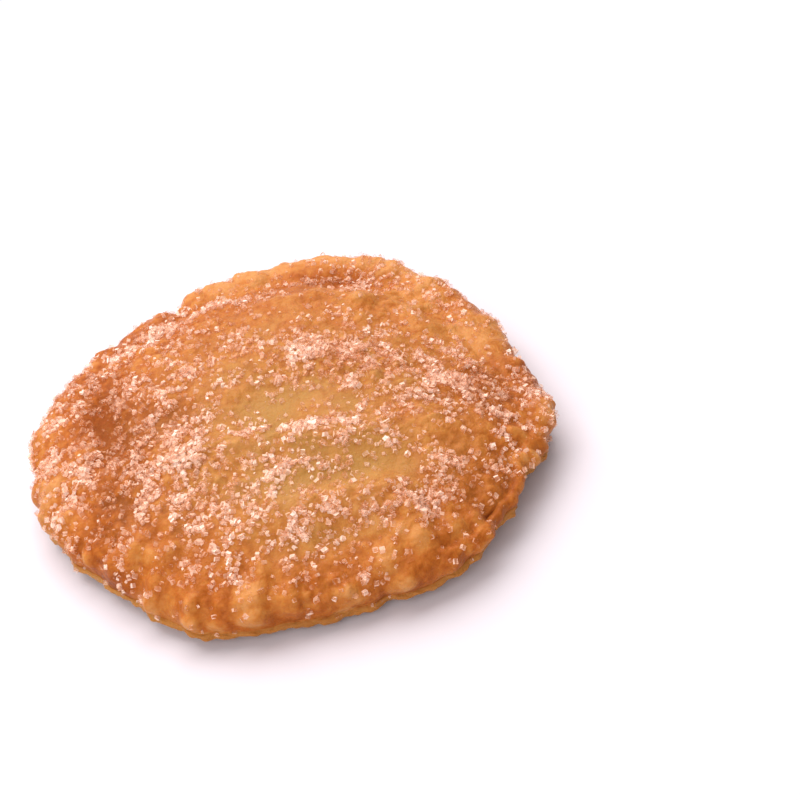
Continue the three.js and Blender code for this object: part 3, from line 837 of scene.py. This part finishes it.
def turns(count, rng):
    """Random turning matrices from random unit quaternions."""
    q = rng.normal(size=(count, 4))
    w, x, y, z = (q / np.linalg.norm(q, axis=1, keepdims=True)).T
    return np.stack(
        [
            np.stack([1 - 2 * (y * y + z * z), 2 * (x * y - w * z), 2 * (x * z + w * y)], -1),
            np.stack([2 * (x * y + w * z), 1 - 2 * (x * x + z * z), 2 * (y * z - w * x)], -1),
            np.stack([2 * (x * z - w * y), 2 * (y * z + w * x), 1 - 2 * (x * x + y * y)], -1),
        ],
        -2,
    )


def crystal_mesh(sheet):
    """Sugar crystals: boxes with uneven sides and corners, turned any way and stacked where they crowd. Each
    face has its own tint, painted light: bright glints and darker faces that stand in for light refracted
    through a crystal."""
    rng = np.random.default_rng(CRYSTAL_SEED)
    point, normal, crowd = strewn(CRYSTALS, sheet, rng)
    raised = STACK * rng.random(CRYSTALS) * ease(crowd, *STACK_LIMITS)
    radius = between(CRYSTAL_RADIUS, rng.random(CRYSTALS) ** SMALLNESS)
    box = np.stack(np.meshgrid((-1, 1), (-1, 1), (-1, 1), indexing="ij"), -1).reshape(8, 3) / math.sqrt(3)
    sides = rng.uniform(*SIDE_SPREAD, (CRYSTALS, 1, 3)) * rng.uniform(*CORNER_SPREAD, (CRYSTALS, 8, 1))
    corners = np.einsum("nij,nvj->nvi", turns(CRYSTALS, rng), box * radius[:, None, None] * sides)
    corners = corners + (point + normal * (CRYSTAL_SEAT * radius + raised)[:, None])[:, None, :]
    quads = np.array([(0, 1, 3, 2), (4, 6, 7, 5), (0, 4, 5, 1), (2, 3, 7, 6), (0, 2, 6, 4), (1, 5, 7, 3)])
    block = quads[:, [0, 1, 2, 0, 2, 3]].reshape(-1, 3)
    faces = (block + 8 * np.arange(CRYSTALS)[:, None, None]).reshape(-1, 3)
    lone = LONE_TINT * (1 - ease(crowd, 0, LONE_LIMIT))
    whole = lone + CRYSTAL_TINT * rng.random(CRYSTALS) + sugar_cinnamon_and_painted_shade(point[:, 0], point[:, 1])
    tint = FACE_PAINTED_GLINTS * rng.random((CRYSTALS, len(quads))) + whole[:, None]
    return corners.reshape(-1, 3), faces, {"tint": np.repeat(tint.ravel(), 2)}


def fine_mesh(sheet):
    """Fine sugar and cinnamon between the crystals: eight-sided grains with uneven corners."""
    rng = np.random.default_rng(FINE_SEED)
    point, normal, _ = strewn(FINE_GRAINS, sheet, rng)
    radius = between(FINE_RADIUS, rng.random(FINE_GRAINS))
    octahedron = np.concatenate([np.eye(3), -np.eye(3)])
    corners = octahedron * radius[:, None, None] * rng.uniform(*FINE_SPREAD, (FINE_GRAINS, 6, 1))
    corners = np.einsum("nij,nvj->nvi", turns(FINE_GRAINS, rng), corners)
    corners = corners + (point + normal * (FINE_SEAT * radius)[:, None])[:, None, :]
    upper_half = [(0, 1, 2), (1, 3, 2), (3, 4, 2), (4, 0, 2)]
    lower_half = [(1, 0, 5), (3, 1, 5), (4, 3, 5), (0, 4, 5)]
    block = np.array(upper_half + lower_half)
    faces = (block + 6 * np.arange(FINE_GRAINS)[:, None, None]).reshape(-1, 3)
    tint = between(FINE_TINT, rng.random((FINE_GRAINS, len(block))))
    return corners.reshape(-1, 3), faces, {"tint": tint.ravel()}


# Pieces, with the middle of the crust's box over the origin
points, faces, marks = crust_mesh()
points = points - np.append((points[:, :2].min(0) + points[:, :2].max(0)) / 2, 0)
make_piece("crust", points, faces, fried_crust(), smooth=True, **marks)

# Sugar lies on the upper sheet and the upper rows of the lip, which come first among the triangles
sheet_faces = 6 * UPPER_RINGS**2
lip_row_faces = 12 * UPPER_RINGS
upper = (points, faces[: sheet_faces + lip_row_faces * (LIP_ROWS // 2)])
sugar = sugar_crystal()
for name, grain_mesh in (("sugar_crystals", crystal_mesh), ("fine_sugar", fine_mesh)):
    grain_points, grain_faces, tints = grain_mesh(upper)
    make_piece(name, grain_points, grain_faces, sugar, smooth=False, **tints)

# Stage, camera and lights

floor_side = 0.6
half = floor_side / 2
floor_mesh = bpy.data.meshes.new("floor")
floor_mesh.from_pydata(
    [(-half, -half, 0), (half, -half, 0), (half, half, 0), (-half, half, 0)], [], [(0, 1, 2, 3)]
)
floor_mesh.materials.append(white_card())
floor = bpy.data.objects.new("floor", floor_mesh)
bpy.context.scene.collection.objects.link(floor)

# The picture: an 800 by 800 frame in which the outline's ellipse has this middle, half-length and tilt
PICTURE_SIDE = 800
ELLIPSE_MIDDLE = (292.4, 448.6)
ELLIPSE_HALF = 260.7
ELLIPSE_TILT = math.radians(13.45)
HALF_ACROSS = 59 * MM  # the fritter's half-length, which the ellipse's half-length shows
LOOKED_AT = Vector((0.31, -6.54, 7.5)) * MM  # the point of the fritter at the ellipse's middle
ELEVATION = math.radians(41)
LENS = 100.0
SENSOR = 36.0


def add_camera():
    """A camera that looks along +Y from the elevation, rolled by the ellipse's tilt, as far off as the
    ellipse's size asks, and moved in its own plane so that the ellipse's middle falls in place."""
    focal = LENS / SENSOR * PICTURE_SIDE
    distance = focal * HALF_ACROSS / ELLIPSE_HALF
    back = Vector((0, -math.cos(ELEVATION), math.sin(ELEVATION)))
    level = Vector((1, 0, 0))
    steep = back.cross(level)
    right = level * math.cos(ELLIPSE_TILT) - steep * math.sin(ELLIPSE_TILT)
    up = level * math.sin(ELLIPSE_TILT) + steep * math.cos(ELLIPSE_TILT)
    pixel = distance / focal
    aside = (ELLIPSE_MIDDLE[0] - PICTURE_SIDE / 2) * pixel
    down = (ELLIPSE_MIDDLE[1] - PICTURE_SIDE / 2) * pixel
    camera = bpy.data.objects.new("camera", bpy.data.cameras.new("camera"))
    camera.data.lens = LENS
    camera.data.sensor_width = SENSOR
    camera.data.clip_start = 0.01
    camera.matrix_world = Matrix.Translation(LOOKED_AT + back * distance - right * aside + up * down) @ (
        Matrix((right, up, back)).transposed().to_4x4()
    )
    bpy.context.scene.collection.objects.link(camera)
    bpy.context.scene.camera = camera


def add_softbox(name, place, size, power):
    """A square area light at a place in metres, aimed at the fritter."""
    light = bpy.data.lights.new(name, "AREA")
    light.size = size
    light.energy = power
    lamp = bpy.data.objects.new(name, light)
    lamp.location = place
    lamp.rotation_euler = (-Vector(place)).to_track_quat("-Z", "Y").to_euler()
    bpy.context.scene.collection.objects.link(lamp)


def add_white_room():
    """A white room all round, half as bright in the light it gives as to the eye, so that the fritter keeps
    its shadow while the floor runs into white."""
    world = bpy.data.worlds.new("white room")
    world.use_nodes = True
    tree = world.node_tree
    seen = add(tree, "ShaderNodeLightPath", {}, {}).outputs["Is Camera Ray"]
    strength = add(tree, "ShaderNodeMapRange", {}, {"Value": seen, "To Min": 0.5, "To Max": 1.0})
    background = tree.nodes["Background"]
    background.inputs["Color"].default_value = colour("#ffffff")
    tree.links.new(strength.outputs["Result"], background.inputs["Strength"])
    bpy.context.scene.world = world


add_camera()
add_softbox("overhead", place=(-0.1, 0.3, 0.55), size=0.8, power=7.8)
add_softbox("front", place=(-0.25, -0.5, 0.34), size=0.6, power=2.6)
add_white_room()
bpy.context.scene.view_settings.view_transform = "Standard"
bpy.context.scene.cycles.transparent_max_bounces = 48  # heaps of clear crystals are many surfaces deep
